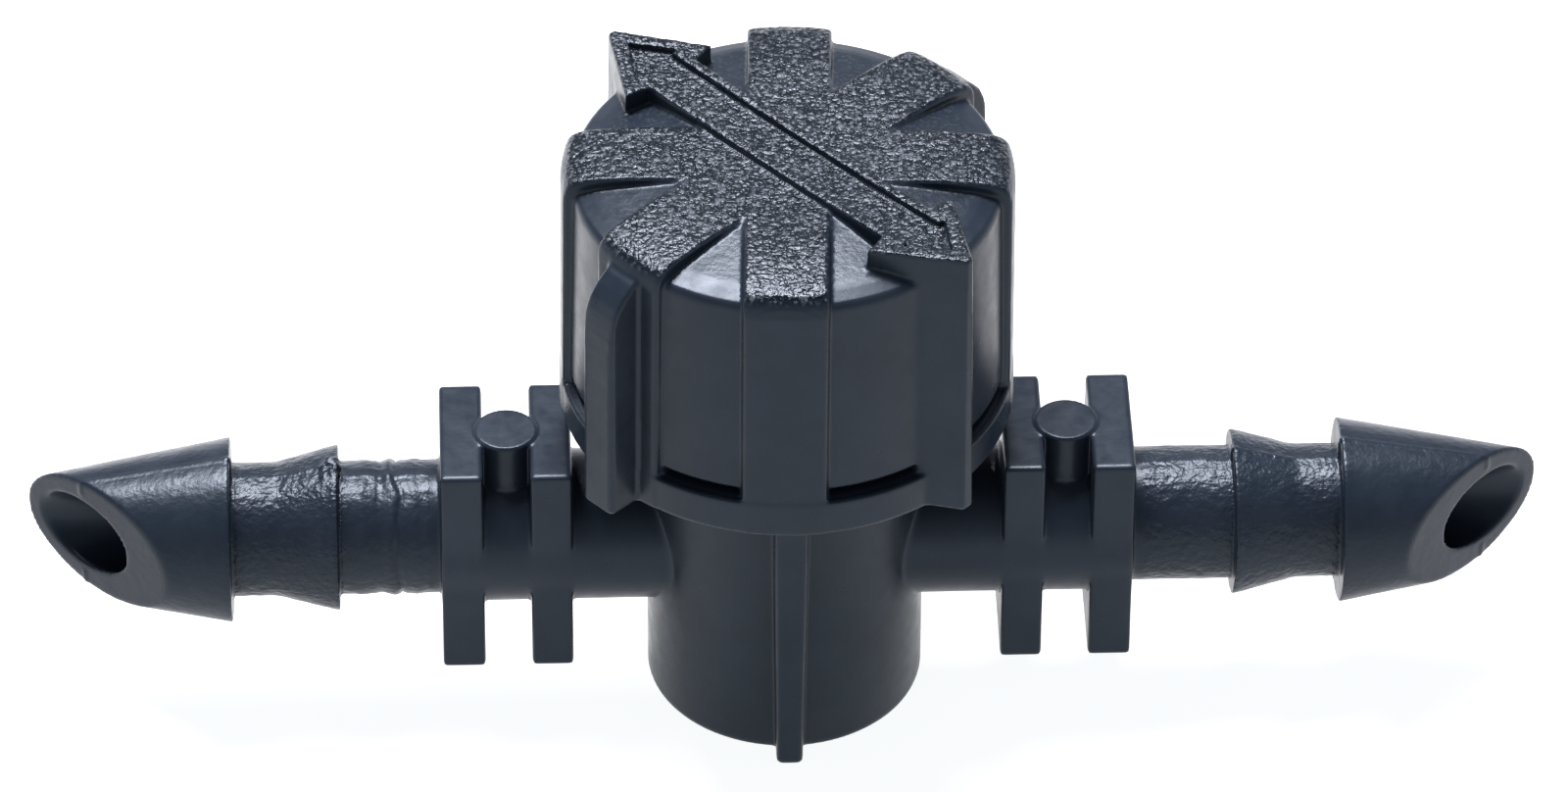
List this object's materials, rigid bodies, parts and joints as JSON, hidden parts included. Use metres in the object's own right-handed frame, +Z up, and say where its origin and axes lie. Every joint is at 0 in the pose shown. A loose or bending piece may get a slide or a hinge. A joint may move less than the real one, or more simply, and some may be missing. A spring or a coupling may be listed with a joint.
{
  "type": "barbed in-line shut-off valve",
  "caption": "In-line shut-off valve for micro irrigation tube: bevel-tipped barbed tails on a moulded barrel, turned by a ribbed cap with a raised double-headed arrow.",
  "frame": {"origin": "middle of the barrel's flat base", "axes": "+X along the tube, -Y the front that the bevelled tips face, +Z up the barrel to the cap"},
  "size_m": [0.0496, 0.0146, 0.0217],
  "materials": {
    "body_plastic": "black polyolefin with a faint blue-grey cast, satin",
    "knob_plastic": "black polyolefin, satin sides and a coarse spark-eroded grain on the crown",
    "plug_plastic": "smooth black acetal",
    "seal_rubber": "black nitrile"
  },
  "bodies": {
    "body": {"valve_body": "body_plastic"},
    "cap": {"knob": "knob_plastic", "plug": "plug_plastic", "o_ring_lower": "seal_rubber", "o_ring_upper": "seal_rubber"}
  },
  "joints": [
    {"name": "cap_turn", "type": "hinge", "parent": "body", "child": "cap", "pos_m": [0, 0, 0.006], "axis": [0, 0, 1], "range_deg": [-42.5, 47.5]}
  ]
}
